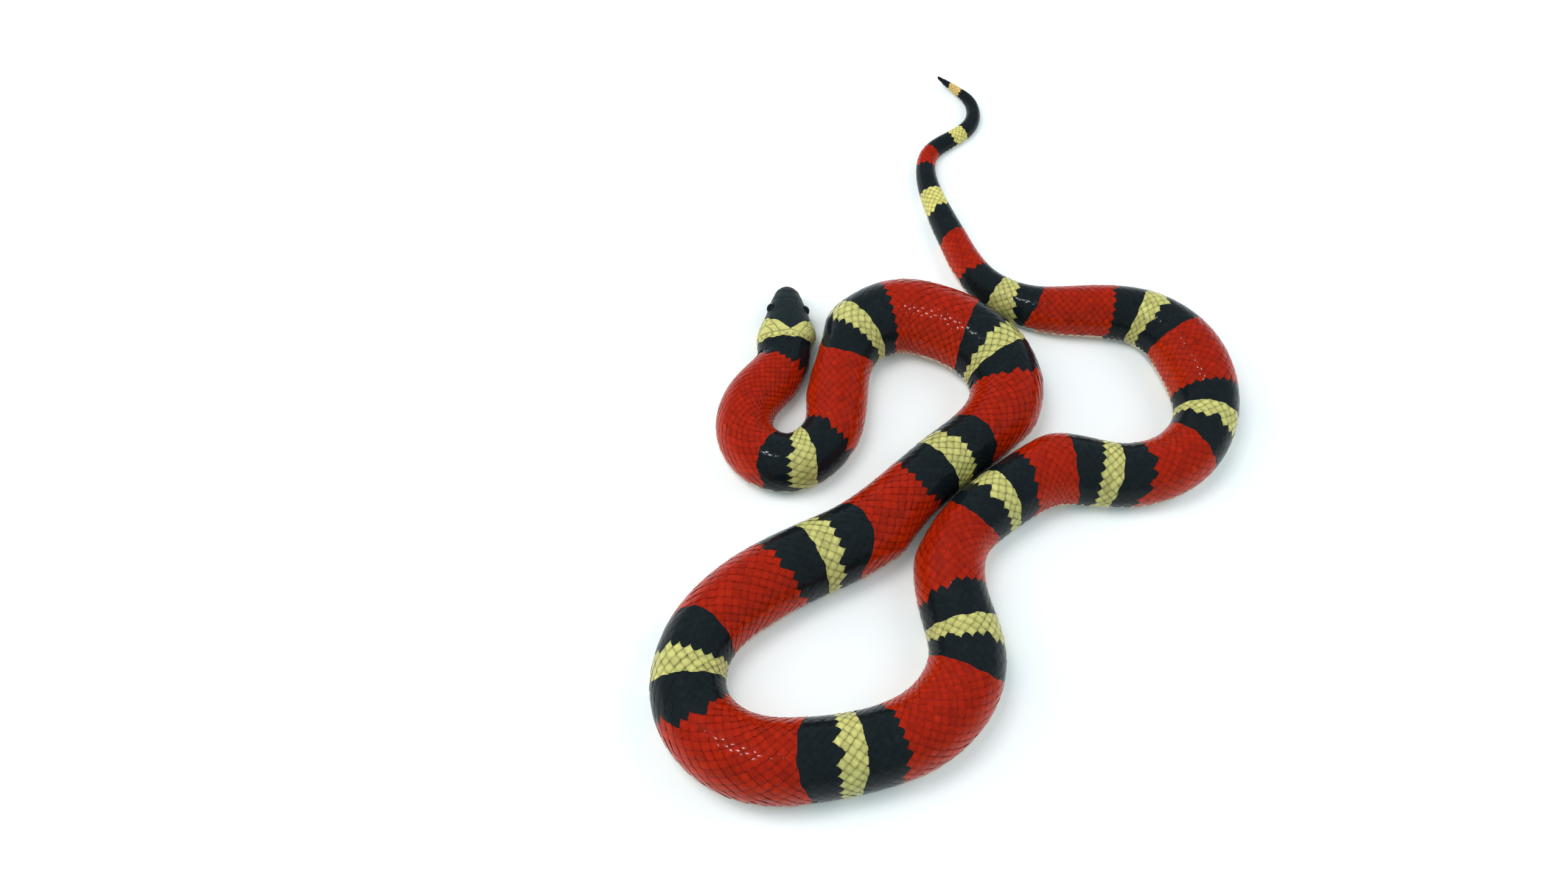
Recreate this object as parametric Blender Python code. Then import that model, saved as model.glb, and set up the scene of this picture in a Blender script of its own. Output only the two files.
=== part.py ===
"""A milk snake, life size, lying still on a flat floor.

The body is a loft along one bent line and is parted into lengths by thin gaps. Its belly carries
overlapping plates. The head carries raised shields, eyes in their sockets, nostrils and the line
of the mouth. Sizes are millimetres until a mesh is made. +Z is up and the belly lies on z = 0.
"""

import math

import bmesh
import bpy
import numpy as np
from mathutils import Matrix, Vector

MM = 0.001
GAP = 0.3  # between neighbouring solids

# The pose: the snout, the way the head points, then the middle line of the back from neck to tail
SNOUT = (-41.1, 26.1)
HEAD_HEADING = 90.0  # degrees from +X
HEAD_LENGTH = 18.0
NECK_TURN = 5.0  # millimetres behind the head in which the sections turn square to the line
ROUTE = (
    (-41.3, 4.6), (-43.3, 1.2), (-49.8, -6.6), (-51.5, -14.2), (-47.5, -21.2), (-40.5, -23.3), (-33.5, -19.6),
    (-29.8, -14.0), (-28.7, -6.5), (-28.3, 1.2), (-25.5, 9.5), (-19.8, 14.8), (-12.1, 17.1),
    (-4.2, 15.6), (9.0, 7.5), (13.6, -2.9), (10.0, -13.3), (-1.5, -24.0), (-12.6, -33.8),
    (-24.1, -42.8), (-37.6, -49.5), (-50.5, -57.0), (-60.8, -67.7), (-62.5, -82.8), (-51.1, -93.8),
    (-36.0, -94.8), (-21.8, -92.3), (-8.2, -85.9), (-0.3, -72.6), (-2.8, -57.5), (-1.3, -43.0),
    (9.6, -32.3), (22.9, -25.5), (37.5, -26.7), (52.6, -23.5), (61.9, -12.2), (61.3, 2.6),
    (52.0, 15.8), (37.6, 19.3), (22.6, 20.6), (9.6, 29.1), (3.0, 42.7), (-1.4, 55.5),
    (-1.3, 71.2), (5.9, 76.8), (10.8, 82.6), (10.0, 90.0), (7.6, 92.4), (5.0, 94.5), (1.8, 97.2),
)

# Millimetres behind the snout, width, height
GIRTH = (
    (18.0, 14.9, 10.3), (24.0, 14.1, 10.8), (35.0, 14.0, 11.2), (56.0, 14.6, 11.7),
    (68.0, 14.1, 11.6), (87.0, 15.9, 12.8), (120.0, 19.2, 15.1), (142.0, 18.5, 14.8),
    (166.0, 17.6, 14.2), (207.0, 17.9, 14.4), (232.0, 18.1, 14.5), (252.0, 16.9, 13.8),
    (268.0, 17.8, 14.2), (287.0, 19.1, 15.1), (314.0, 17.8, 14.3), (338.0, 18.0, 14.4),
    (359.0, 16.6, 13.4), (402.0, 17.8, 14.1), (424.0, 15.5, 12.6), (447.0, 15.2, 12.4),
    (466.0, 17.4, 13.8), (484.0, 14.7, 12.0), (504.0, 12.7, 10.4), (526.0, 9.2, 7.6),
    (547.0, 7.4, 6.1), (566.0, 5.4, 4.5), (588.0, 4.3, 3.6), (595.0, 3.4, 2.8),
    (600.2, 2.6, 2.1), (604.0, 1.9, 1.6), (608.0, 0.9, 0.8),
)
WIDEST_AT = 0.28  # share of the height at which the body is widest
BACK_ROUNDNESS = 2.0
BELLY_ROUNDNESS = 3.2
BELLY_SINK = 0.04  # share of the height that the floor flattens away
SIDES = 16  # points round a section of the body

# The tip of the tail is lifted off the floor: millimetres behind the snout, rise
TAIL_RISE = ((588.0, 0.0), (596.0, 0.25), (604.0, 1.2), (608.0, 1.9))

# Belly plates: one raised edge stands for two or three of the real ones
PLATE_PITCH_SHARE = 0.42  # of the width
PLATE_PITCH_LEAST = 3.4
PLATE_STEP = 0.3
PLATE_EDGE = 0.35
PLATE_REACH = 105.0  # degrees up each side from the middle of the belly

# Where two lengths of the body press together, both give way
PRESS_NEIGHBOUR = 28.0  # millimetres along the body that count as the same length
PRESS_LEAST = 0.6
PRESS_ROOM = 0.45  # millimetres kept from the neighbour's outline
PRESS_SMOOTH = 2  # millimetres

# The lengths that the body is parted into, by where each ends behind the snout
LENGTH_ENDS = (
    ("neck", 52.0), ("torso_01", 83.0), ("torso_02", 115.0), ("torso_03", 152.0),
    ("torso_04", 200.0), ("torso_05", 245.0), ("torso_06", 285.0), ("torso_07", 323.0),
    ("torso_08", 368.0), ("torso_09", 411.0), ("torso_10", 448.0), ("torso_11", 487.0),
    ("torso_12", 519.0), ("tail_base", 566.0), ("tail_middle", 588.0), ("tail_tip", 608.0),
)

COLOURS = {
    "body_scales": ((0.50, 0.020, 0.008), 0.32),
    "head_scales": ((0.012, 0.016, 0.019), 0.28),
    "eye": ((0.006, 0.006, 0.007), 0.05),
}

# The head: millimetres behind the snout, half width, chin, widest and crown heights
HEAD_STATIONS = (
    (0.0, 1.2, 2.3, 3.2, 4.6), (0.5, 2.0, 1.4, 3.2, 5.2), (1.2, 2.7, 0.8, 3.2, 5.7),
    (3.0, 3.6, 0.2, 3.2, 6.5), (5.0, 4.3, 0.0, 3.2, 7.3), (7.5, 5.0, 0.0, 3.3, 8.1),
    (10.0, 5.9, 0.0, 3.4, 8.8), (13.0, 7.1, 0.0, 3.4, 9.5), (16.0, 7.7, 0.0, 3.2, 10.0),
    (18.0, 7.45, 0.0, 2.9, 10.3),
)
# The crown leans to the snake's right, less towards the chin and back along the neck
HEAD_LEAN = 8.0  # degrees
LEAN_PIVOT = 3.0  # height that stays in place
LEAN_FULL = 5.0  # height from which the lean is whole
LEAN_FADE = (13.0, 32.0)  # millimetres behind the snout
HEAD_SIDES = 26
HEAD_CROWN_ROUNDNESS = 2.3
HEAD_CHIN_ROUNDNESS = 2.8
SHIELD_RISE = 0.22
SHIELD_FOOT = 5.0  # height below which a crown shield adds nothing

# Mouth line: millimetres behind the snout, height
MOUTH_LINE = ((-3.0, 2.5), (0.0, 2.5), (4.0, 2.5), (8.0, 2.9), (11.5, 3.3), (13.8, 3.9))
JAW_REAR = 15.2  # where the lower jaw ends on the floor

EYE_BEHIND_SNOUT = 7.5
EYE_OFF_MIDDLE = 4.05
EYE_HEIGHT = 5.5
EYE_RADIUS = 1.4
NOSTRIL_BEHIND_SNOUT = 1.5
NOSTRIL_HEIGHT = 3.9
NOSTRIL_RADIUS = 0.4

# Crown shields of the left side in plan: millimetres behind the snout, off the middle
SEAM = 0.14  # half of the groove between two shields
PAIRED_SHIELDS = {
    "internasal": ((1.1, SEAM), (1.0, 1.9), (2.3, 2.4), (2.5, SEAM)),
    "prefrontal": ((2.8, SEAM), (2.6, 2.5), (3.6, 3.7), (4.9, 3.2), (5.0, SEAM)),
    "supraocular": ((5.3, 1.9), (5.2, 3.2), (7.4, 3.9), (9.4, 4.0), (8.6, 1.7)),
    "parietal": ((10.4, SEAM), (8.9, 1.7), (9.8, 3.9), (12.4, 4.9), (15.0, 4.3), (16.8, 2.0), (16.2, SEAM)),
}
FRONTAL = ((5.3, -1.6), (5.3, 1.6), (8.4, 1.3), (10.1, 0.0), (8.4, -1.3))
ROSTRAL = ((-1.0, -1.1), (-1.0, 1.1), (0.8, 0.8), (0.8, -0.8))

# Lip shields: where the seams stand behind the snout, and how tall the shields are
UPPER_LIP_SEAMS = (1.3, 2.9, 4.5, 6.1, 8.0, 9.9, 11.8, 13.6)
LOWER_LIP_SEAMS = (1.5, 3.3, 5.2, 7.2, 9.2, 11.4, 13.4)
LIP_HEIGHT = 1.25


def pchip(rows, x, column=1):
    """The smooth value at x of a table whose first column rises, with no overshoot."""
    table = np.array(rows, float)
    known, values = table[:, 0], table[:, column]
    step = np.diff(known)
    slope = np.diff(values) / step
    tangent = np.zeros(len(known))
    for i in range(1, len(known) - 1):
        if slope[i - 1] * slope[i] > 0:
            tangent[i] = 2 * slope[i - 1] * slope[i] / (slope[i - 1] + slope[i])
    tangent[0], tangent[-1] = slope[0], slope[-1]
    x = np.clip(x, known[0], known[-1])
    i = np.clip(np.searchsorted(known, x) - 1, 0, len(step) - 1)
    t = (x - known[i]) / step[i]
    return (
        (1 + 2 * t) * (1 - t) ** 2 * values[i]
        + t * (1 - t) ** 2 * step[i] * tangent[i]
        + t * t * (3 - 2 * t) * values[i + 1]
        + t * t * (t - 1) * step[i] * tangent[i + 1]
    )


def ease(share):
    """A smooth step from 0 to 1."""
    share = min(1.0, max(0.0, share))
    return share * share * (3 - 2 * share)


def lean(at, off, up):
    """Where a point of the head or neck stands, off the middle and in height, with the crown leaning."""
    fade = 1 - ease((at - LEAN_FADE[0]) / (LEAN_FADE[1] - LEAN_FADE[0]))
    slope = math.sin(math.radians(HEAD_LEAN)) * fade * ease(up / LEAN_FULL)
    return off - (up - LEAN_PIVOT) * slope, up + off * slope


def cubic_through(points, first_direction, samples_per_span=40):
    """Dense points of a cubic spline that starts in a given direction and ends with no curvature."""
    points = np.array(points, float)
    step = np.linalg.norm(np.diff(points, axis=0), axis=1)
    count = len(points)
    system = np.zeros((count, count))
    right = np.zeros((count, 2))
    system[0, 0] = 1
    right[0] = first_direction
    for i in range(1, count - 1):
        system[i, i - 1 : i + 2] = (step[i], 2 * (step[i - 1] + step[i]), step[i - 1])
        before = (points[i] - points[i - 1]) / step[i - 1]
        after = (points[i + 1] - points[i]) / step[i]
        right[i] = 3 * (step[i] * before + step[i - 1] * after)
    system[-1, -2:] = (1, 2)
    right[-1] = 3 * (points[-1] - points[-2]) / step[-1]
    tangent = np.linalg.solve(system, right)
    dense = []
    for i in range(count - 1):
        t = np.linspace(0, 1, samples_per_span, endpoint=False)[:, None]
        dense.append(
            (1 + 2 * t) * (1 - t) ** 2 * points[i]
            + t * (1 - t) ** 2 * step[i] * tangent[i]
            + t * t * (3 - 2 * t) * points[i + 1]
            + t * t * (t - 1) * step[i] * tangent[i + 1]
        )
    return np.vstack([*dense, points[-1:]])


class Body:
    """The middle line of the snake, sampled each millimetre behind the snout, and its sections."""

    def __init__(self):
        heading = math.radians(HEAD_HEADING)
        self.head_axis = np.array([math.cos(heading), math.sin(heading)])
        snout = np.array(SNOUT)
        nape = snout - HEAD_LENGTH * self.head_axis
        dense = np.vstack([snout[None], cubic_through([nape, *ROUTE], -self.head_axis)])
        along = np.r_[0, np.cumsum(np.linalg.norm(np.diff(dense, axis=0), axis=1))]
        self.length = GIRTH[-1][0]
        self.stretch = along[-1] / self.length
        self.at = np.arange(0, self.length + 0.5)
        self.line = np.stack([np.interp(self.at * self.stretch, along, dense[:, i]) for i in (0, 1)], 1)
        self.line -= (self.line.max(axis=0) + self.line.min(axis=0)) / 2
        across = np.gradient(self.line, axis=0)
        across = np.stack([across[:, 1], -across[:, 0]], 1)
        across /= np.linalg.norm(across, axis=1)[:, None]
        turned = np.clip((self.at - HEAD_LENGTH) / NECK_TURN, 0, 1)[:, None]
        across = turned * across + (1 - turned) * np.array([-self.head_axis[1], self.head_axis[0]])
        self.left = across / np.linalg.norm(across, axis=1)[:, None]
        head = self.at < HEAD_LENGTH
        half = np.where(head, pchip(HEAD_STATIONS, self.at), pchip(GIRTH, self.at) / 2)
        self.press = np.ones((len(self.at), 2))
        for column, side in enumerate((1, -1)):
            self.press[:, column] = self.give_way(half, side)
        low, high = self.outline(half)
        self.line -= (low + high) / 2

    def give_way(self, half, side):
        """How much of its half width each section keeps on one side, because of its neighbours."""
        kept = np.ones(len(self.at))
        for i, at in enumerate(self.at):
            if at < HEAD_LENGTH:
                continue
            other = abs(self.at - at) > PRESS_NEIGHBOUR
            soft = self.at[other] >= HEAD_LENGTH
            for share in np.arange(1, PRESS_LEAST, -0.01):
                edge = self.line[i] + side * share * half[i] * self.left[i]
                away = np.linalg.norm(self.line[other] - edge, axis=1)
                reach = half[other] * np.where(soft, share, 1)
                if (away > reach + PRESS_ROOM).all():
                    break
            kept[i] = share
        near = [kept[max(0, i - PRESS_SMOOTH) : i + PRESS_SMOOTH + 1].min() for i in range(len(kept))]
        window = np.hanning(2 * PRESS_SMOOTH + 3)[1:-1]
        padded = np.pad(near, PRESS_SMOOTH, mode="edge")
        return np.convolve(padded, window / window.sum(), mode="valid")

    def outline(self, half):
        """The lowest and highest corners of the plan."""
        edges = [self.line + side * (half * self.press[:, k])[:, None] * self.left for k, side in enumerate((1, -1))]
        edges = np.vstack(edges)
        return edges.min(axis=0), edges.max(axis=0)

    def value(self, samples, at):
        return np.interp(at, self.at, samples)

    def place(self, at):
        """The middle point and the leftward direction at a distance behind the snout."""
        middle = np.array([self.value(self.line[:, i], at) for i in (0, 1)])
        left = np.array([self.value(self.left[:, i], at) for i in (0, 1)])
        return middle, left / np.linalg.norm(left)

    def ring(self, at, plate_rise=0.0):
        """World points of one section: loaf-shaped, flat below, with the belly plates' edge raised."""
        middle, left = self.place(at)
        half, height = pchip(GIRTH, at) / 2, pchip(GIRTH, at, 2)
        points = []
        for k in range(SIDES):
            turn = 2 * math.pi * k / SIDES
            out, up = loaf(turn)
            side = 0 if out > 0 else 1
            reach = half * self.value(self.press[:, side], at) * abs(out)
            rise = height * up
            degrees = abs(math.degrees(turn) if turn <= math.pi else math.degrees(turn) - 360)
            if up > 0 and degrees < PLATE_REACH:
                reach += plate_rise
            offset, up = lean(at, math.copysign(reach, out), rise)
            points.append((*(middle + offset * left), up + pchip(TAIL_RISE, at)))
        return points


def loaf(turn):
    """A unit section: how far out, from -1 to 1, and how high, from 0 to 1, at a turn from below."""
    out = math.sin(turn)
    down = math.cos(turn)
    roundness = BELLY_ROUNDNESS if down > 0 else BACK_ROUNDNESS
    wide = math.copysign(abs(out) ** (2 / roundness), out)
    if down > 0:
        high = WIDEST_AT - (WIDEST_AT + BELLY_SINK) * down ** (2 / roundness)
        return wide, max(0.0, high - 0.01)
    return wide, WIDEST_AT + (1 - WIDEST_AT) * (-down) ** (2 / roundness)


def mesh_object(name, points, faces, origin=(0, 0, 0)):
    """An object whose mesh is given in world millimetres, with its own origin at a world point."""
    mesh = bpy.data.meshes.new(name)
    shifted = [tuple((p[i] - origin[i]) * MM for i in range(3)) for p in points]
    mesh.from_pydata(shifted, [], faces)
    mesh.update()
    obj = bpy.data.objects.new(name, mesh)
    obj.location = [value * MM for value in origin]
    bpy.context.scene.collection.objects.link(obj)
    return obj


def loft_faces(ring_count, sides):
    """Quads between rings that run round from below to the left, and one face over each end."""
    faces = [tuple(range(sides))]
    for r in range(ring_count - 1):
        for k in range(sides):
            a, b = r * sides + k, r * sides + (k + 1) % sides
            faces.append((b, a, a + sides, b + sides))
    faces.append(tuple(reversed(range((ring_count - 1) * sides, ring_count * sides))))
    return faces


def make_materials():
    materials = {}
    for name, (colour, roughness) in COLOURS.items():
        material = bpy.data.materials.new(name)
        material.use_nodes = True
        shader = material.node_tree.nodes["Principled BSDF"]
        shader.inputs["Base Color"].default_value = (*colour, 1)
        shader.inputs["Roughness"].default_value = roughness
        shader.inputs["Metallic"].default_value = 0
        materials[name] = material
    return materials


def plate_edges(start, end):
    """Where the belly plates' free rear edges stand between two distances."""
    edges = []
    at = start
    while True:
        at += max(PLATE_PITCH_LEAST, PLATE_PITCH_SHARE * pchip(GIRTH, at))
        if at > end - PLATE_PITCH_LEAST / 2:
            return edges
        edges.append(at)


def make_length(body, name, start, end, material):
    """One length of the body, with its ends square to the middle line."""
    rings = [(start, 0.0)]
    for edge in plate_edges(start, end):
        rings += [((rings[-1][0] + edge) / 2, PLATE_STEP / 2), (edge - PLATE_EDGE, PLATE_STEP), (edge, 0.0)]
    rings += [((rings[-1][0] + end) / 2, 0.0), (end, 0.0)]
    points = [point for at, rise in rings for point in body.ring(at, rise)]
    middle, _ = body.place(start)
    obj = mesh_object(name, points, loft_faces(len(rings), SIDES), (*middle, 0))
    obj.data.materials.append(material)
    obj.data.shade_smooth()
    obj.data.set_sharp_from_angle(angle=math.radians(35))
    return obj


def head_section(behind, growth=0.0):
    """Points of one section of the head in its own frame: behind the snout is -x, left is +y."""
    half, chin, widest, crown = (pchip(HEAD_STATIONS, behind, k) for k in (1, 2, 3, 4))
    half += growth
    crown += growth
    points = []
    for k in range(HEAD_SIDES):
        turn = 2 * math.pi * k / HEAD_SIDES
        out, down = math.sin(turn), math.cos(turn)
        roundness = HEAD_CHIN_ROUNDNESS if down > 0 else HEAD_CROWN_ROUNDNESS
        wide = math.copysign(abs(out) ** (2 / roundness), out)
        if down > 0:
            high = max(chin, widest - (widest - chin + 0.1) * down ** (2 / roundness))
        else:
            high = widest + (crown - widest) * (-down) ** (2 / roundness)
        points.append((-behind, half * wide, high))
    return points


def head_loft(name, growth=0.0):
    stations = [0.0, 0.25, 0.6, 1.2, 2.0, 3.0, 4.2, 5.4, 6.6, 7.8, 9.2, 10.8, 12.4, 14.0, 15.4, 16.8]
    stations.append(HEAD_LENGTH - GAP / 2)
    points = [point for at in stations for point in head_section(at, growth)]
    if growth:
        points = [(x + growth if x > -1 else x, y, z) for x, y, z in points]
    return mesh_object(name, points, loft_faces(len(stations), HEAD_SIDES))


def prism(name, outline, low, high, flat="xy"):
    """A closed prism over an outline: in plan with heights, or seen from the side with offs."""
    area = sum(a[0] * b[1] - b[0] * a[1] for a, b in zip(outline, outline[1:] + outline[:1]))
    outline = outline if area > 0 else tuple(reversed(outline))
    if flat == "xy":
        points = [(x, y, z) for z in (low, high) for x, y in outline]
    else:
        points = [(x, y, z) for y in (high, low) for x, z in outline]
    count = len(outline)
    faces = [tuple(reversed(range(count))), tuple(range(count, 2 * count))]
    faces += [(k, (k + 1) % count, count + (k + 1) % count, count + k) for k in range(count)]
    return mesh_object(name, points, faces)


def apply_boolean(obj, operation, others, solver="EXACT"):
    """Cuts, joins or intersects with a group of closed meshes, which are then removed."""
    group = bpy.data.collections.new("group")
    for other in others:
        group.objects.link(other)
    modifier = obj.modifiers.new("Boolean", "BOOLEAN")
    modifier.operation = operation
    modifier.operand_type = "COLLECTION"
    modifier.collection = group
    modifier.solver = solver
    bpy.context.view_layer.update()
    evaluated = obj.evaluated_get(bpy.context.evaluated_depsgraph_get())
    mesh = bpy.data.meshes.new_from_object(evaluated)
    obj.modifiers.clear()
    obj.data = mesh
    for other in others:
        bpy.data.objects.remove(other)
    bpy.data.collections.remove(group)


def keep_largest(obj):
    """Drops every closed surface but the largest, so the node stays one body."""
    shape = bmesh.new()
    shape.from_mesh(obj.data)
    groups = []
    left = set(shape.faces)
    while left:
        group, queue = set(), [left.pop()]
        while queue:
            face = queue.pop()
            group.add(face)
            for edge in face.edges:
                for near in edge.link_faces:
                    if near in left:
                        left.remove(near)
                        queue.append(near)
        groups.append(group)
    groups.sort(key=lambda group: sum(face.calc_area() for face in group))
    for group in groups[:-1]:
        bmesh.ops.delete(shape, geom=list(group), context="FACES")
    shape.to_mesh(obj.data)
    shape.free()


def crown_shields():
    """Prisms in plan over each shield of the crown."""
    high = 14.0
    shields = [
        prism("frontal", tuple((-d, y) for d, y in FRONTAL), SHIELD_FOOT, high),
        prism("rostral", tuple((-d, y) for d, y in ROSTRAL), 2.8, high),
    ]
    for name, outline in PAIRED_SHIELDS.items():
        for side in (1, -1):
            shields.append(prism(name, tuple((-d, side * y) for d, y in outline), SHIELD_FOOT, high))
    return shields


def lip_shields(seams, direction):
    """Prisms seen from the side over each lip shield, above or below the mouth line."""
    shields = []
    for front, rear in zip(seams, seams[1:]):
        front, rear = front + SEAM / 2, rear - SEAM / 2
        near = [pchip(MOUTH_LINE, at) + direction * 0.35 for at in (front, rear)]
        outline = (
            (-front, near[0]), (-rear, near[1]),
            (-rear, near[1] + direction * LIP_HEIGHT), (-front, near[0] + direction * LIP_HEIGHT),
        )
        for low, high in ((1.2, 12.0), (-12.0, -1.2)):
            shields.append(prism("lip", outline, low, high, "xz"))
    return shields


def raised(shields, growth):
    """The skin of the head under some prisms, raised by a growth."""
    shell = head_loft("shell", growth)
    apply_boolean(shell, "INTERSECT", [joined("outlines", shields)])
    return shell


def joined(name, objects):
    """Separate closed meshes as one object."""
    points, faces = [], []
    for obj in objects:
        faces += [tuple(v + len(points) for v in face.vertices) for face in obj.data.polygons]
        points += [tuple(c / MM for c in vertex.co) for vertex in obj.data.vertices]
        bpy.data.objects.remove(obj)
    return mesh_object(name, points, faces)


def jaw_block(name, drop):
    """What lies under the mouth line, seen from the side, lowered and shortened by a drop."""
    top = [(-at, height - drop) for at, height in MOUTH_LINE]
    rear = ((-JAW_REAR + drop, -2.0), (3.0, -2.0))
    corner = top.pop()
    outline = (*top, (corner[0] + drop, corner[1] - drop), *rear)
    return prism(name, outline, -12.0, 12.0, "xz")


def ball(name, radius, centre, subdivisions=3):
    shape = bmesh.new()
    place = Matrix.Translation(Vector(centre) * MM)
    bmesh.ops.create_icosphere(shape, subdivisions=subdivisions, radius=radius * MM, matrix=place)
    mesh = bpy.data.meshes.new(name)
    shape.to_mesh(mesh)
    shape.free()
    obj = bpy.data.objects.new(name, mesh)
    bpy.context.scene.collection.objects.link(obj)
    return obj


def finish_head_piece(obj, body, material):
    """Leans a piece of the head, sets it in its place and gives it its material."""
    for vertex in obj.data.vertices:
        x, y, z = vertex.co / MM
        off, up = lean(-x, y, z)
        vertex.co = Vector((x, off, up)) * MM
    snout, _ = body.place(0)
    obj.location = (snout[0] * MM, snout[1] * MM, 0)
    obj.rotation_euler = (0, 0, math.radians(HEAD_HEADING))
    obj.data.materials.clear()
    obj.data.materials.append(material)
    obj.data.shade_smooth()
    obj.data.set_sharp_from_angle(angle=math.radians(30))


def make_head(body, materials):
    """The head with its shields, and the lower jaw parted from it along the mouth."""
    head = head_loft("head")
    apply_boolean(head, "DIFFERENCE", [jaw_block("jaw_room", 0.0)])
    shields = raised(crown_shields() + lip_shields(UPPER_LIP_SEAMS, 1), SHIELD_RISE)
    apply_boolean(head, "UNION", [shields])
    cutters = []
    for side in (1, -1):
        eye = (-EYE_BEHIND_SNOUT, side * EYE_OFF_MIDDLE, EYE_HEIGHT)
        cutters.append(ball("socket", EYE_RADIUS + GAP, eye))
        nose = (-NOSTRIL_BEHIND_SNOUT, side * (pchip(HEAD_STATIONS, NOSTRIL_BEHIND_SNOUT) + 0.1), NOSTRIL_HEIGHT)
        cutters.append(ball("nostril", NOSTRIL_RADIUS, nose, 1))
    apply_boolean(head, "DIFFERENCE", cutters)
    keep_largest(head)
    finish_head_piece(head, body, materials["head_scales"])

    jaw = head_loft("lower_jaw")
    apply_boolean(jaw, "INTERSECT", [jaw_block("jaw_form", GAP)])
    lips = raised(lip_shields(LOWER_LIP_SEAMS, -1), SHIELD_RISE)
    apply_boolean(jaw, "UNION", [lips])
    keep_largest(jaw)
    finish_head_piece(jaw, body, materials["head_scales"])

    pieces = [head, jaw]
    for name, side in (("eye_left", 1), ("eye_right", -1)):
        centre = (-EYE_BEHIND_SNOUT, side * EYE_OFF_MIDDLE, EYE_HEIGHT)
        eye = ball(name, EYE_RADIUS, centre)
        finish_head_piece(eye, body, materials["eye"])
        pieces.append(eye)
    return pieces


def main():
    for obj in list(bpy.data.objects):
        bpy.data.objects.remove(obj)
    materials = make_materials()
    body = Body()
    pieces = make_head(body, materials)
    start = HEAD_LENGTH
    for name, end in LENGTH_ENDS:
        near = end if end == body.length else end - GAP / 2
        pieces.append(make_length(body, name, start + GAP / 2, near, materials["body_scales"]))
        start = end
    snake = bpy.data.objects.new("milk_snake", None)
    bpy.context.scene.collection.objects.link(snake)
    for piece in pieces:
        piece.parent = snake


if __name__ == "__main__":
    main()
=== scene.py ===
"""The looks of the milk snake: one skin, overlapping scales and belly plates, head shields and eyes.

Sizes are millimetres until a mesh is made. The pose and the girth repeat those of the solids.
"""

import math

import bpy
import numpy as np
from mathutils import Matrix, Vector


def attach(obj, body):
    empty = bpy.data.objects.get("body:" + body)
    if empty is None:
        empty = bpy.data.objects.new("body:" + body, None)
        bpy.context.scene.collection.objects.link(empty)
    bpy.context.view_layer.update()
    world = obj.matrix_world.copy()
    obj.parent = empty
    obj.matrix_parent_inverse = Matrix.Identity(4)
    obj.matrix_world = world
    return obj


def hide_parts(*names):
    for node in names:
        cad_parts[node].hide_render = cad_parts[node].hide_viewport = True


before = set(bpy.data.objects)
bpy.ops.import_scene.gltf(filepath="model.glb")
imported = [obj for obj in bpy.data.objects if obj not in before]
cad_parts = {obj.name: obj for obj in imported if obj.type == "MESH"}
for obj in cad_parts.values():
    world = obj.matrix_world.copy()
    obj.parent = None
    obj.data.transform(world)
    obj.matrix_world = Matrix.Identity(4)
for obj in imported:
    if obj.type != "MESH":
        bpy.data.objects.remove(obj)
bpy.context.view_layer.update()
MM = 0.001
RANDOM = np.random.default_rng(20)

# The pose, as in the solids: the snout, the head's heading, then the line from neck to tail
SNOUT = (-41.1, 26.1)
HEAD_HEADING = 90.0
HEAD_LENGTH = 18.0
NECK_TURN = 5.0
ROUTE = (
    (-41.3, 4.6), (-43.3, 1.2), (-49.8, -6.6), (-51.5, -14.2), (-47.5, -21.2), (-40.5, -23.3), (-33.5, -19.6),
    (-29.8, -14), (-28.7, -6.5), (-28.3, 1.2), (-25.5, 9.5), (-19.8, 14.8), (-12.1, 17.1),
    (-4.2, 15.6), (9, 7.5), (13.6, -2.9), (10, -13.3), (-1.5, -24), (-12.6, -33.8),
    (-24.1, -42.8), (-37.6, -49.5), (-50.5, -57), (-60.8, -67.7), (-62.5, -82.8), (-51.1, -93.8),
    (-36, -94.8), (-21.8, -92.3), (-8.2, -85.9), (-0.3, -72.6), (-2.8, -57.5), (-1.3, -43),
    (9.6, -32.3), (22.9, -25.5), (37.5, -26.7), (52.6, -23.5), (61.9, -12.2), (61.3, 2.6),
    (52, 15.8), (37.6, 19.3), (22.6, 20.6), (9.6, 29.1), (3, 42.7), (-1.4, 55.5),
    (-1.3, 71.2), (5.9, 76.8), (10.8, 82.6), (10, 90), (7.6, 92.4), (5, 94.5), (1.8, 97.2),
)

# Millimetres behind the snout, width, height
GIRTH = (
    (18, 14.9, 10.3), (24, 14.1, 10.8), (35, 14, 11.2), (56, 14.6, 11.7),
    (68, 14.1, 11.6), (87, 15.9, 12.8), (120, 19.2, 15.1), (142, 18.5, 14.8),
    (166, 17.6, 14.2), (207, 17.9, 14.4), (232, 18.1, 14.5), (252, 16.9, 13.8),
    (268, 17.8, 14.2), (287, 19.1, 15.1), (314, 17.8, 14.3), (338, 18, 14.4),
    (359, 16.6, 13.4), (402, 17.8, 14.1), (424, 15.5, 12.6), (447, 15.2, 12.4),
    (466, 17.4, 13.8), (484, 14.7, 12), (504, 12.7, 10.4), (526, 9.2, 7.6),
    (547, 7.4, 6.1), (566, 5.4, 4.5), (588, 4.3, 3.6), (595, 3.4, 2.8),
    (600.2, 2.6, 2.1), (604, 1.9, 1.6), (608, 0.9, 0.8),
)
WIDEST_AT = 0.28
BACK_ROUNDNESS = 2.0
BELLY_ROUNDNESS = 3.2
BELLY_SINK = 0.04
PRESS_NEIGHBOUR = 28.0
PRESS_LEAST = 0.6
PRESS_ROOM = 0.45
PRESS_SMOOTH = 2

# The tip of the tail is lifted off the floor: millimetres behind the snout, rise
TAIL_RISE = ((588, 0), (596, 0.25), (604, 1.2), (608, 1.9))

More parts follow.
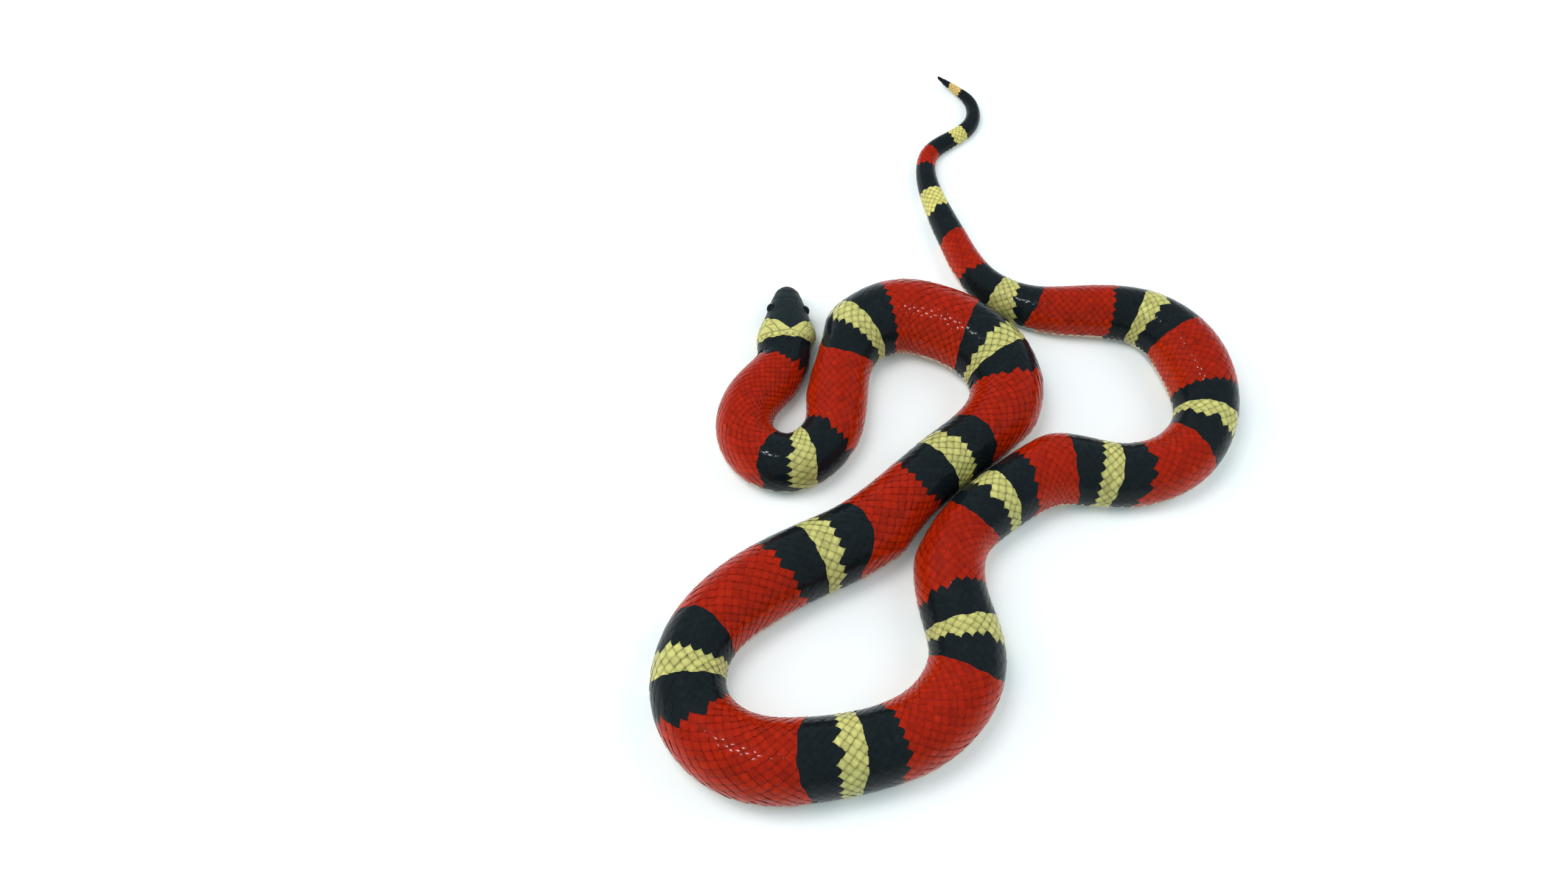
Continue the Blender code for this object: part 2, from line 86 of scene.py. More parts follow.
# The head: millimetres behind the snout, half width, chin, widest and crown heights
HEAD_STATIONS = (
    (0, 1.2, 2.3, 3.2, 4.6), (0.5, 2, 1.4, 3.2, 5.2), (1.2, 2.7, 0.8, 3.2, 5.7),
    (3, 3.6, 0.2, 3.2, 6.5), (5, 4.3, 0, 3.2, 7.3), (7.5, 5, 0, 3.3, 8.1),
    (10, 5.9, 0, 3.4, 8.8), (13, 7.1, 0, 3.4, 9.5), (16, 7.7, 0, 3.2, 10),
    (18, 7.45, 0, 2.9, 10.3),
)
HEAD_BLEND = (15.0, 21.0)  # here the head's section passes into the body's
# The crown leans to the snake's right, less towards the chin and back along the neck
HEAD_LEAN = 8.0  # degrees
LEAN_PIVOT = 3.0  # height that stays in place
LEAN_FULL = 5.0  # height from which the lean is whole
LEAN_FADE = (13.0, 32.0)  # millimetres behind the snout
HEAD_CROWN_ROUNDNESS = 2.3
HEAD_CHIN_ROUNDNESS = 2.8
MOUTH_LINE = ((-3, 2.5), (0, 2.5), (4, 2.5), (8, 2.9), (11.5, 3.3), (13.8, 3.9))
EYE_BEHIND_SNOUT = 7.5
EYE_OFF_MIDDLE = 4.05
EYE_HEIGHT = 5.5
EYE_RADIUS = 1.4

# Rings: where black, yellow, black again and red begin, in millimetres behind the snout, each on
# the left, in the middle of the back and on the right
RINGS = (
    ((54.5, 52.8, 53.6), (59.1, 59.6, 63), (63.4, 65.1, 67.2), (70.8, 71.9, 73)),
    ((93, 91.3, 94), (99, 98.1, 99), (104, 103.6, 103.1), (110, 110.6, 109.8)),
    ((134.6, 131.9, 131.2), (140.5, 138.8, 138.2), (144.6, 143.6, 142.8), (151, 150.2, 148.6)),
    ((169, 166.8, 168.3), (176, 174.2, 174.6), (180.2, 180.2, 180), (187.2, 189.2, 187)),
    ((206.7, 204.2, 208.4), (214.4, 212.8, 214), (219.7, 218.2, 218.2), (228.6, 227.2, 225.2)),
    ((249.8, 246.9, 248.6), (257.2, 255.5, 255), (262, 261.6, 260.8), (268.6, 271.1, 270.1)),
    ((296.7, 295.3, 298), (304, 304.2, 304.8), (308.8, 310.3, 310), (316.5, 318.5, 317.3)),
    ((340.5, 340.1, 342), (346.4, 347.2, 348.8), (351.6, 352.1, 352.7), (360.3, 359.9, 358.6)),
    ((380.2, 378.2, 379.1), (386, 385.1, 385.1), (389.5, 390.2, 389.6), (395.2, 396.9, 396.8)),
    ((410.6, 408.5, 408), (415.8, 415.4, 414.5), (419.4, 420.4, 419.6), (425, 427.8, 425.9)),
    ((440.6, 440.9, 442.3), (447.2, 447.2, 447.9), (451.3, 451.4, 451.4), (457.4, 457.2, 456.9)),
    ((473.5, 474.2, 475.5), (480.6, 480.9, 482.2), (485.2, 485.8, 487), (492.1, 492.3, 492.8)),
    ((510.3, 510.9, 512.3), (517.6, 517.2, 515.8), (522.1, 522.1, 522.1), (529, 529.6, 530.4)),
    ((542.8, 542.9, 542), (552.4, 551.5, 550.6), (558.2, 558.2, 558.2), (567.2, 566.4, 567.6)),
    ((572.9,) * 3, (579.5,) * 3, (583.8,) * 3, (586,) * 3),
    ((580,) * 3, (599.8,) * 3, (603.6,) * 3, (620,) * 3),
)
RING_SIDE = 0.36  # share of the half girth at which the left and the right are given
RING_REACH = 1.25  # multiples of that share up to which the edges go on bending
TAIL_RING = 13  # from this ring on the yellow is the tail's
COLLAR = (17.65, 23.4)  # where black and then red begin on the nape, in the middle of the back
VENT = 517.0

# Scales: millimetres behind the snout, spacing along a row, pitch from row to row
SCALE_LATTICE = (
    (15, 1.7, 0.90), (33, 1.85, 0.90), (50, 2.15, 0.98), (82, 2.25, 1.10), (105, 2.45, 1.22),
    (125, 2.55, 1.30), (158, 2.15, 1.28), (197, 2.65, 1.30), (238, 2.60, 1.32),
    (283, 2.80, 1.28), (330, 2.28, 1.28), (370, 2.45, 1.30), (404, 2.15, 1.32),
    (434, 2.10, 1.18), (466, 2.00, 1.20), (502, 1.87, 1.08), (536, 1.80, 0.95),
    (570, 1.45, 0.78), (608, 0.95, 0.42),
)
STEP = 0.25  # how closely places along the body are counted
# The pieces that the scales are joined into, and where each begins and ends behind the snout
SCALE_LENGTHS = (
    ("scales_neck", 0, 80), ("scales_front", 80, 185), ("scales_middle", 185, 300),
    ("scales_rear", 300, 425), ("scales_vent", 425, 515), ("scales_tail", 515, 700),
)
BELLY_EDGE = 0.60  # share of the half girth, from the middle of the back, where the plates begin
NAPE = 16.9  # the middle of the first scale behind the head's shields
HEAD_END = 19.0  # the shields, the cap and the collar end before this
THROAT_END = 25.0  # up to here scales go all the way round
SKIN_DEPTH = 0.34  # how far the skin lies inside the outline
TIP_ROUND = 0.7  # the length over which the tip of the tail is rounded
NO_SEAM = 9.0  # stands for the distance to a seam where there is none

# The camera that matches the photograph's view
PHOTO_WIDTH, FOCAL_PIXELS = 2576.0, 2100.0
SENSOR = 36.0
CAMERA_PLACE = (-41.8, -149.8, 287.4)
CAMERA_PITCH = 65.0  # degrees below level


def hermite(t, step, start, end, leaving, arriving):
    """The cubic at a share t of a step, from the values and the slopes at both ends."""
    return (
        (1 + 2 * t) * (1 - t) ** 2 * start
        + t * (1 - t) ** 2 * step * leaving
        + t * t * (3 - 2 * t) * end
        + t * t * (t - 1) * step * arriving
    )


def pchip(rows, x, column=1):
    """The smooth value at x of a table whose first column rises, with no overshoot."""
    table = np.array(rows, float)
    known, values = table[:, 0], table[:, column]
    step = np.diff(known)
    slope = np.diff(values) / step
    tangent = np.zeros(len(known))
    for i in range(1, len(known) - 1):
        if slope[i - 1] * slope[i] > 0:
            tangent[i] = 2 * slope[i - 1] * slope[i] / (slope[i - 1] + slope[i])
    tangent[0], tangent[-1] = slope[0], slope[-1]
    x = np.clip(x, known[0], known[-1])
    i = np.clip(np.searchsorted(known, x) - 1, 0, len(step) - 1)
    t = (x - known[i]) / step[i]
    return hermite(t, step[i], values[i], values[i + 1], tangent[i], tangent[i + 1])


def cubic_through(points, first_direction, samples_per_span=40):
    """Dense points of a cubic spline that starts in a given direction and ends with no curvature."""
    points = np.array(points, float)
    step = np.linalg.norm(np.diff(points, axis=0), axis=1)
    count = len(points)
    system = np.zeros((count, count))
    right = np.zeros((count, 2))
    system[0, 0] = 1
    right[0] = first_direction
    for i in range(1, count - 1):
        system[i, i - 1 : i + 2] = (step[i], 2 * (step[i - 1] + step[i]), step[i - 1])
        before = (points[i] - points[i - 1]) / step[i - 1]
        after = (points[i + 1] - points[i]) / step[i]
        right[i] = 3 * (step[i] * before + step[i - 1] * after)
    system[-1, -2:] = (1, 2)
    right[-1] = 3 * (points[-1] - points[-2]) / step[-1]
    tangent = np.linalg.solve(system, right)
    t = np.linspace(0, 1, samples_per_span, endpoint=False)[:, None]
    dense = []
    for i in range(count - 1):
        dense.append(hermite(t, step[i], points[i], points[i + 1], tangent[i], tangent[i + 1]))
    return np.vstack([*dense, points[-1:]])


def smoothstep(x):
    """An even rise from 0 to 1 as x does, flat at both ends."""
    x = np.clip(x, 0, 1)
    return x * x * (3 - 2 * x)


def lean(at, off, up):
    """Where points of the head or neck stand, off the middle and in height, with the crown leaning."""
    fade = 1 - smoothstep((at - LEAN_FADE[0]) / (LEAN_FADE[1] - LEAN_FADE[0]))
    slope = math.sin(math.radians(HEAD_LEAN)) * fade * smoothstep(up / LEAN_FULL)
    return off - (up - LEAN_PIVOT) * slope, up + off * slope


def straighten(at, off, up):
    """The place that a leaning point of the head has before the crown leans."""
    straight_off, straight_up = off, up
    for _ in range(8):
        leaning_off, leaning_up = lean(at, straight_off, straight_up)
        straight_off = straight_off + off - leaning_off
        straight_up = straight_up + up - leaning_up
    return straight_off, straight_up


class Body:
    """The middle line of the snake, sampled each millimetre behind the snout, and its sections."""

    def __init__(self):
        heading = math.radians(HEAD_HEADING)
        self.head_axis = np.array([math.cos(heading), math.sin(heading)])
        snout = np.array(SNOUT)
        nape = snout - HEAD_LENGTH * self.head_axis
        dense = np.vstack([snout[None], cubic_through([nape, *ROUTE], -self.head_axis)])
        along = np.r_[0, np.cumsum(np.linalg.norm(np.diff(dense, axis=0), axis=1))]
        self.length = GIRTH[-1][0]
        stretch = along[-1] / self.length
        self.at = np.arange(0, self.length + 0.5)
        self.line = np.stack([np.interp(self.at * stretch, along, dense[:, i]) for i in (0, 1)], 1)
        self.line -= (self.line.max(axis=0) + self.line.min(axis=0)) / 2
        across = np.gradient(self.line, axis=0)
        across = np.stack([across[:, 1], -across[:, 0]], 1)
        across /= np.linalg.norm(across, axis=1)[:, None]
        turned = np.clip((self.at - HEAD_LENGTH) / NECK_TURN, 0, 1)[:, None]
        across = turned * across + (1 - turned) * np.array([-self.head_axis[1], self.head_axis[0]])
        self.left = across / np.linalg.norm(across, axis=1)[:, None]
        head = self.at < HEAD_LENGTH
        half = np.where(head, pchip(HEAD_STATIONS, self.at), pchip(GIRTH, self.at) / 2)
        self.press = np.ones((len(self.at), 2))
        for column, side in enumerate((1, -1)):
            self.press[:, column] = self.give_way(half, side)
        low, high = self.outline(half)
        self.line -= (low + high) / 2
        self.moved = self.line[0] - snout

    def give_way(self, half, side):
        """How much of its half width each section keeps on one side, because of its neighbours."""
        kept = np.ones(len(self.at))
        for i, at in enumerate(self.at):
            if at < HEAD_LENGTH:
                continue
            other = abs(self.at - at) > PRESS_NEIGHBOUR
            soft = self.at[other] >= HEAD_LENGTH
            for share in np.arange(1, PRESS_LEAST, -0.01):
                edge = self.line[i] + side * share * half[i] * self.left[i]
                away = np.linalg.norm(self.line[other] - edge, axis=1)
                reach = half[other] * np.where(soft, share, 1)
                if (away > reach + PRESS_ROOM).all():
                    break
            kept[i] = share
        near = [kept[max(0, i - PRESS_SMOOTH) : i + PRESS_SMOOTH + 1].min() for i in range(len(kept))]
        window = np.hanning(2 * PRESS_SMOOTH + 3)[1:-1]
        padded = np.pad(near, PRESS_SMOOTH, mode="edge")
        return np.convolve(padded, window / window.sum(), mode="valid")

    def outline(self, half):
        """The lowest and highest corners of the plan."""
        reach = (half[:, None] * self.press)[:, :, None] * self.left[:, None, :]
        edges = np.vstack([self.line + reach[:, 0], self.line - reach[:, 1]])
        return edges.min(axis=0), edges.max(axis=0)

    def head_frame(self):
        """The snout, the way the head points and the head's left, in space."""
        return (np.append(flat, 0) for flat in (self.line[0], self.head_axis, self.left[0]))


class Surface:
    """The outline's surface, looked up by distance behind the snout and by share of the half girth.

    The share runs from 0 at the middle of the back to 1 at the middle of the belly on the left,
    and to -1 on the right.
    """

    SHARES = 128  # steps of the grid on each side of a section

    def __init__(self, body):
        self.body = body
        snout, head, rest = np.arange(0, 3, 0.1), np.arange(3, 26, 0.25), np.arange(26, body.length, 0.5)
        self.at = np.concatenate([snout, head, rest, [body.length]])
        share = np.linspace(0, 1, self.SHARES + 1)
        rows, self.half_girth = [], []
        for at in self.at:
            middle = np.array([np.interp(at, body.at, body.line[:, i]) for i in (0, 1)])
            left = np.array([np.interp(at, body.at, body.left[:, i]) for i in (0, 1)])
            left /= np.linalg.norm(left)
            sides = []
            for column in (1, 0):
                out, up = section(at)
                out = out * np.interp(at, body.at, body.press[:, column])
                side = 1 if column == 0 else -1
                off, up = lean(at, side * out, up)
                out, up = side * off, up + pchip(TAIL_RISE, at)
                along = np.r_[0, np.cumsum(np.hypot(np.diff(out), np.diff(up)))]
                if column == 0:
                    self.half_girth.append(along[-1])
                even = np.stack([np.interp(share * along[-1], along, line) for line in (out, up)], 1)
                sides.append(even)
            right, left_side = sides
            flat = np.vstack([right[:0:-1] * (-1, 1), left_side])
            rows.append(np.c_[middle + flat[:, :1] * left, flat[:, 1]])
        self.points = np.array(rows)
        self.half_girth = np.array(self.half_girth)
        along = np.gradient(self.points, axis=0)
        around = np.gradient(self.points, axis=1)
        self.normals = np.cross(around, along)
        length = np.linalg.norm(self.normals, axis=2, keepdims=True)
        self.normals /= np.maximum(length, 1e-9)
        # On the middle of the back they point up
        if self.normals[200, self.SHARES, 2] < 0:
            self.normals *= -1

    def look_up(self, at, share, height=0.0):
        """Points at a height over the surface."""
        row = np.interp(at, self.at, np.arange(len(self.at)))
        column = (np.clip(share, -1, 1) + 1) * self.SHARES
        r = np.minimum(row.astype(int), len(self.at) - 2)
        c = np.minimum(column.astype(int), 2 * self.SHARES - 1)
        fr, fc = (row - r)[..., None], (column - c)[..., None]

        def blend(grid):
            return (
                grid[r, c] * (1 - fr) * (1 - fc)
                + grid[r + 1, c] * fr * (1 - fc)
                + grid[r, c + 1] * (1 - fr) * fc
                + grid[r + 1, c + 1] * fr * fc
            )

        normal = blend(self.normals)
        normal /= np.maximum(np.linalg.norm(normal, axis=-1, keepdims=True), 1e-9)
        return blend(self.points) + normal * np.asarray(height)[..., None]


def section(at):
    """Half a section from the middle of the back, over the left side, to the middle of the belly."""
    turn = np.linspace(math.pi, 0, 241)
    out, down = np.sin(turn), np.cos(turn)
    above = down <= 0

    def body_half():
        half, height = pchip(GIRTH, at) / 2, pchip(GIRTH, at, 2)
        roundness = np.where(above, BACK_ROUNDNESS, BELLY_ROUNDNESS)
        wide = out ** (2 / roundness)
        lift = abs(down) ** (2 / roundness)
        top = WIDEST_AT + (1 - WIDEST_AT) * lift
        bottom = np.maximum(0, WIDEST_AT - (WIDEST_AT + BELLY_SINK) * lift - 0.01)
        return half * wide, height * np.where(above, top, bottom)

    def head_half():
        half, chin, widest, crown = (pchip(HEAD_STATIONS, at, k) for k in (1, 2, 3, 4))
        roundness = np.where(above, HEAD_CROWN_ROUNDNESS, HEAD_CHIN_ROUNDNESS)
        wide = out ** (2 / roundness)
        lift = abs(down) ** (2 / roundness)
        top = widest + (crown - widest) * lift
        bottom = np.maximum(chin, widest - (widest - chin + 0.1) * lift)
        return half * wide, np.where(above, top, bottom)

    mixed = smoothstep((at - HEAD_BLEND[0]) / (HEAD_BLEND[1] - HEAD_BLEND[0]))
    if mixed == 0:
        return head_half()
    if mixed == 1:
        return body_half()
    a, b = head_half(), body_half()
    return tuple(x * (1 - mixed) + y * mixed for x, y in zip(a, b))


def linear(red, green, blue):
    """A colour as a screen shows it, 0 to 255, in the shader's linear values."""
    channels = np.array([red, green, blue], float) / 255
    return np.where(channels <= 0.04045, channels / 12.92, ((channels + 0.055) / 1.055) ** 2.4)


RED, RED_SIDE = linear(157, 29, 5), linear(184, 45, 11)
BLACK, HEAD_BLACK = linear(20, 27, 30), linear(26, 35, 38)
YELLOW, TAIL_YELLOW = linear(194, 189, 114), linear(214, 204, 116)
ORANGE = linear(224, 186, 112)
# OLIVE and RIM_RED are the dark skin between scales, and also the tones of the painted shade on the scales
OLIVE = linear(80, 74, 34)
DUSKY, RIM_RED = linear(96, 22, 10), linear(122, 19, 9)
CREAM, PINKISH, GREYISH = linear(222, 214, 180), linear(222, 196, 168), linear(176, 180, 168)


def add_object(name, data):
    """A new object in the scene."""
    obj = bpy.data.objects.new(name, data)
    bpy.context.scene.collection.objects.link(obj)
    return obj


def make_mesh(name, points, faces, colours, blacks, edge, shares):
    """A mesh object in metres from points in millimetres, with its markings and its place on the unwrap.

    Each point has its ring's bright colour, its black, and how far behind the black's edge it lies.
    """
    mesh = bpy.data.meshes.new(name)
    lengths = np.concatenate([np.full(len(group), group.shape[1]) for group in faces])
    corners = np.concatenate([group.ravel() for group in faces])
    mesh.vertices.add(len(points))
    mesh.vertices.foreach_set("co", (np.asarray(points) * MM).astype(np.float32).ravel())
    mesh.loops.add(len(corners))
    mesh.loops.foreach_set("vertex_index", corners.astype(np.int32))
    mesh.polygons.add(len(lengths))
    starts = np.r_[0, np.cumsum(lengths)[:-1]]
    mesh.polygons.foreach_set("loop_start", starts.astype(np.int32))
    mesh.update(calc_edges=True)
    mesh.validate()
    for label, values in (("colour", colours), ("black", blacks)):
        layer = mesh.color_attributes.new(label, "FLOAT_COLOR", "POINT")
        layer.data.foreach_set("color", np.c_[values, np.ones(len(points))].astype(np.float32).ravel())
    mesh.attributes.new("edge", "FLOAT", "POINT").data.foreach_set("value", np.asarray(edge, np.float32))
    layer = mesh.uv_layers.new(name="OFBake")
    used = np.empty(len(mesh.loops), np.int32)
    mesh.loops.foreach_get("vertex_index", used)
    layer.data.foreach_set("uv", np.asarray(shares, np.float32)[used].ravel())
    mesh.shade_smooth()
    obj = add_object(name, mesh)
    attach(obj, "root")
    return obj


def unwrap(at, share, length):
    """Where a point of the skin lies on its own unwrap: along, and round from the belly."""
    return np.stack([0.01 + 0.98 * np.asarray(at) / length, 0.02 + 0.96 * (np.asarray(share) + 1) / 2], -1)


# Colours by place

RED_KIND, YELLOW_KIND, TAIL_KIND, ORANGE_KIND = range(4)
TONES = np.array([RED, YELLOW, TAIL_YELLOW, ORANGE])
PALE_TONES = np.array([PINKISH, CREAM, CREAM, CREAM])  # of the same kinds, lowest down


def edges_of(ring, side):
    """Where a ring's four edges run at a share of the half girth."""
    reach = np.clip(side / RING_SIDE, -RING_REACH, RING_REACH)
    return [m + (a - b) / 2 * reach + ((a + b) / 2 - m) * reach * reach for a, m, b in ring]


def marking(middle, side, at, share):
    """The bright colour of a scale by its middle, and how far each point is behind the black's edge.

    Black ends with whole scales, so their middles decide; where it begins, the edge runs through them.
    """
    kinds = np.zeros(np.shape(at), int)
    edge = at - edges_of(RINGS[0], share)[0]
    for index, ring in enumerate(RINGS):
        _, yellow, _, red = edges_of(ring, side)
        bright = YELLOW_KIND if index < TAIL_RING else TAIL_KIND
        if index == len(RINGS) - 1:
            bright = ORANGE_KIND
        in_ring = (middle >= yellow) & (middle < red)
        behind = middle >= red
        kinds = np.where(in_ring, bright, np.where(behind, RED_KIND, kinds))
        edge = np.where(in_ring, at - edges_of(ring, share)[2], edge)
        if index + 1 < len(RINGS):
            edge = np.where(behind, at - edges_of(RINGS[index + 1], share)[0], edge)
    neck = middle < COLLAR[1] + 6.2 * np.clip(side, 0, 0.3) + 3.0 * np.clip(side, -0.2, 0)
    kinds = np.where(neck, YELLOW_KIND, kinds)
    edge = np.where(neck, at - COLLAR[0] + 2.2 * np.clip(abs(share) - 0.4, 0, 0.3), edge)
    return kinds, edge + 0.12 * np.sin(share * 31 + at * 0.7)


def tones_at(kinds, side):
    """The colours of the kinds, with the red brighter on the sides."""
    tones = TONES[kinds]
    flank = smoothstep((abs(side) - 0.15) / 0.3) * (kinds == RED_KIND)
    return tones + (RED_SIDE - RED) * np.asarray(flank)[..., None]


# Scales

SCALE_RINGS = ((0.45, 8), (0.84, 16), (1.0, 16))  # share of the reach, points round the middle
SCALE_FOOT = 1.15  # stands for that share on the lower points, under the rim
SCALE_CORNER = 0.82  # a rhomb whose corners are cut back to this share of its reach
SCALE_FRONT, SCALE_REAR = 0.62, 0.62  # reach in spacings, before and behind the middle
SCALE_HALF = 1.19  # reach in rows to each side
SCALE_TILT = 0.065  # rise towards the rear for each millimetre
SCALE_DOME = 0.07
SCALE_THICK = 0.13
SCALE_SEAT = 0.09  # how far the rim sits inside the outline
SCALE_PITCH = 1.3  # the pitch at which these heights hold
BLACK_RELIEF = 0.5  # the black scales lie flatter
FOLDED = 0.3  # no scale where a bend crowds the surface to less than this share of its length
FOLD_REACH = 0.4  # how far ahead and behind the crowding is measured
UV_PATCH = (0.0024, 0.0015)  # how far a scale spreads on the unwrap, along and across
SHARP_TURN = math.radians(50)  # edges that turn more than this stay crisp


def scale_template():
    """Points of one scale, as along, across, height, share of the reach and turn, and its faces."""
    points = [(0.0, 0.0, SCALE_DOME, 0.0, 0.0)]
    loops = []
    for share, count in SCALE_RINGS:
        loop = []
        for k in range(count):
            turn = 2 * math.pi * k / count
            a, b = math.cos(turn), math.sin(turn)
            far = min(1 / (abs(a) + abs(b)), SCALE_CORNER / max(abs(a), abs(b))) * share
            along, across = far * a, far * b
            reach = SCALE_REAR if along > 0 else SCALE_FRONT
            loop.append(len(points))
            points.append((along * reach, across * SCALE_HALF, SCALE_DOME * (1 - share**2.4), share, along))
        loops.append(loop)
    low = []
    for index in loops[-1]:
        along, across, height, _, a = points[index]
        low.append(len(points))
        points.append((along * 0.97, across * 0.96, height - SCALE_THICK, SCALE_FOOT, a))
    triangles, quads = [], []
    few, many = len(loops[0]), len(loops[1])
    for k in range(few):
        inner, after = loops[0][k], loops[0][(k + 1) % few]
        a, b, c = (loops[1][(2 * k + i) % many] for i in (0, 1, 2))
        triangles += [(0, inner, after), (inner, a, b), (inner, b, after), (after, b, c)]
    for upper, lower in ((loops[1], loops[2]), (loops[2], low)):
        for k in range(many):
            quads.append((upper[k], lower[k], lower[(k + 1) % many], upper[(k + 1) % many]))
    return np.array(points), np.array(triangles), np.array(quads), np.array([low[::-1]])


def count_spacings(start, end):
    """Close places along the body, and how many spacings of scales each is behind the first."""
    at = np.arange(start, end, STEP)
    return at, np.r_[0, np.cumsum(STEP / pchip(SCALE_LATTICE, at))[:-1]]


def scale_positions(surface):
    """Where every scale sits: distance behind the snout, row, share of the half girth."""
    at, index = count_spacings(NAPE - 4 * pchip(SCALE_LATTICE, NAPE), surface.body.length + 1)
    found = []
    for row in range(-26, 27):
        places = np.interp(np.arange(0.5 * (row % 2), index[-1], 1), index, at)
        step = pchip(SCALE_LATTICE, places, 2) / np.interp(places, surface.at, surface.half_girth)
        share = row * step
        limit = np.where(places < THROAT_END, 1.01, BELLY_EDGE - 0.25 * step)
        keep = (abs(share) < limit) & (places > shield_end(share) + 0.5)
        keep &= places < surface.body.length - 2
        ahead, after = (surface.look_up(places + away, share) for away in (-FOLD_REACH, FOLD_REACH))
        keep &= np.linalg.norm(after - ahead, axis=1) > 2 * FOLD_REACH * FOLDED
        found.append(np.c_[places[keep], np.full(keep.sum(), row), share[keep]])
    return np.vstack(found)


def shield_end(share):
    """How far back the head's shields reach."""
    share = abs(share)
    return 16.2 - 1.2 * smoothstep((share - 0.42) / 0.15) - 2.5 * smoothstep((share - 0.6) / 0.3)


def build_scales(surface, material):
    """All the scales of the back and sides, as joined closed plates in a few lengths."""
    template, triangles, quads, bottom = scale_template()
    places = scale_positions(surface)
    for name, start, end in SCALE_LENGTHS:
        chosen = places[(places[:, 0] >= start) & (places[:, 0] < end)]
        count = len(chosen)
        at, row, share = chosen.T
        spacing, pitch = pchip(SCALE_LATTICE, at), pchip(SCALE_LATTICE, at, 2)
        size = (1 + RANDOM.normal(0, 0.03, count))[:, None]
        shift = RANDOM.normal(0, 0.025, count) * spacing
        tilt = (SCALE_TILT + RANDOM.normal(0, 0.014, count))[:, None]
        roll = RANDOM.normal(0, 0.04, count)[:, None]
        along = (at + shift)[:, None] + template[:, 0] * spacing[:, None] * size
        along = np.clip(along, 8, surface.body.length - 0.3)
        girth = np.interp(along, surface.at, surface.half_girth)
        around = (row[:, None] + template[:, 1] * size) * pchip(SCALE_LATTICE, along, 2) / girth
        colours, blacks, edge = scale_colours(at, share, along, around, template)
        relief = np.where(edge.reshape(along.shape)[:, :1] > 0, BLACK_RELIEF, 1)
        dome = np.where(template[:, 3] == SCALE_FOOT, template[:, 2], template[:, 2] * relief)
        height = (dome - SCALE_SEAT) * (pitch / SCALE_PITCH)[:, None]
        height += ((along - at[:, None]) * tilt + roll * template[:, 1] * pitch[:, None]) * relief
        points = surface.look_up(along, around, height).reshape(-1, 3)
        points[:, 2] = np.maximum(points[:, 2], 0.03)

        offsets = (np.arange(count) * len(template))[:, None, None]
        uv = unwrap(at, share, surface.body.length)[:, None, :]
        patch = template[:, :2] * UV_PATCH
        faces = [(group[None] + offsets).reshape(-1, group.shape[1]) for group in (triangles, quads, bottom)]
        obj = make_mesh(name, points, faces, colours, blacks, edge, (uv + patch[None]).reshape(-1, 2))
        obj.data.set_sharp_from_angle(angle=SHARP_TURN)
        obj.data.materials.append(material)


def scale_colours(at, share, along, around, template):
    """Each scale's markings with its own tint, darker to the front and at the rear edge with painted shade,
    darker at the rim with dark skin and painted shade, paler lowest down.
    """
    count = len(at)
    jitter = RANDOM.normal(0, 0.16, count)[:, None]
    middle = np.broadcast_to(at[:, None] + jitter, along.shape)
    side = np.broadcast_to(share[:, None], along.shape)
    kinds, edge = marking(middle, side, along + jitter * 0.5, around)
    tint = (1 + RANDOM.normal(0, 0.07, count))[:, None, None]
    colours = tones_at(kinds, side) * tint
    red = (kinds == RED_KIND)[..., None]
    blotch = (np.where(RANDOM.random(count) < 0.2, RANDOM.random(count), 0) * 0.3)[:, None, None] * red
    colours = colours * (1 - blotch) + DUSKY * blotch

    reach, forward = template[:, 3], template[:, 4]
    # Painted shade: the front of each scale, where the scale ahead overhangs it, and its rear edge are
    # darkened as if in shadow. The rim is darker partly for the dark skin between scales and partly for
    # painted shade in the gaps, and the points under the rim take the dark tone whole.
    front = smoothstep((-forward - 0.05) / 0.6)
    rim = smoothstep((reach - 0.7) / 0.3)
    rear_edge_shade = rim * smoothstep((forward + 0.5) / 0.5)
    under = (reach == SCALE_FOOT) * 1.0
    shade_and_seam_tone = np.where(red, RIM_RED, OLIVE)
    shade_and_seam_weight = np.clip(0.5 * front + 0.42 * rim + 0.2 * rear_edge_shade + under, 0, 1)[None, :, None]
    colours = colours * (1 - shade_and_seam_weight) + shade_and_seam_tone * shade_and_seam_weight
    # The black scales get the same painted shade, more faintly
    blacks = BLACK * (1 - 0.15 * shade_and_seam_weight) * tint

    strip = 0.35 * smoothstep((abs(side) - (BELLY_EDGE - 0.05)) / 0.03)[..., None]
    colours = colours * (1 - strip) + PALE_TONES[kinds] * 0.8 * strip
    blacks = blacks * (1 - strip) + GREYISH * 0.3 * strip
    return np.clip(colours, 0, 1).reshape(-1, 3), blacks.reshape(-1, 3), edge.ravel()


# Belly plates

PLATE_STATIONS = (-0.35, 0.1, 0.5, 0.85, 1.0)  # along a plate, which begins under the one ahead
PLATE_POINTS, PAIRED_POINTS = 25, 9  # across a wide plate and across one of a pair
PLATE_START = BELLY_EDGE - 0.012
PAIR_END = 0.997  # where a plate of a pair ends, just short of the middle of the belly
PLATE_DEPTH, PLATE_RISE = 0.17, 0.15  # how deep its front lies, and how far its rear comes up
PLATE_LIP = 0.05  # how far its rear edge turns in
PLATE_CORNER = 0.10  # how far its two ends turn in
PLATE_THICK = 0.12


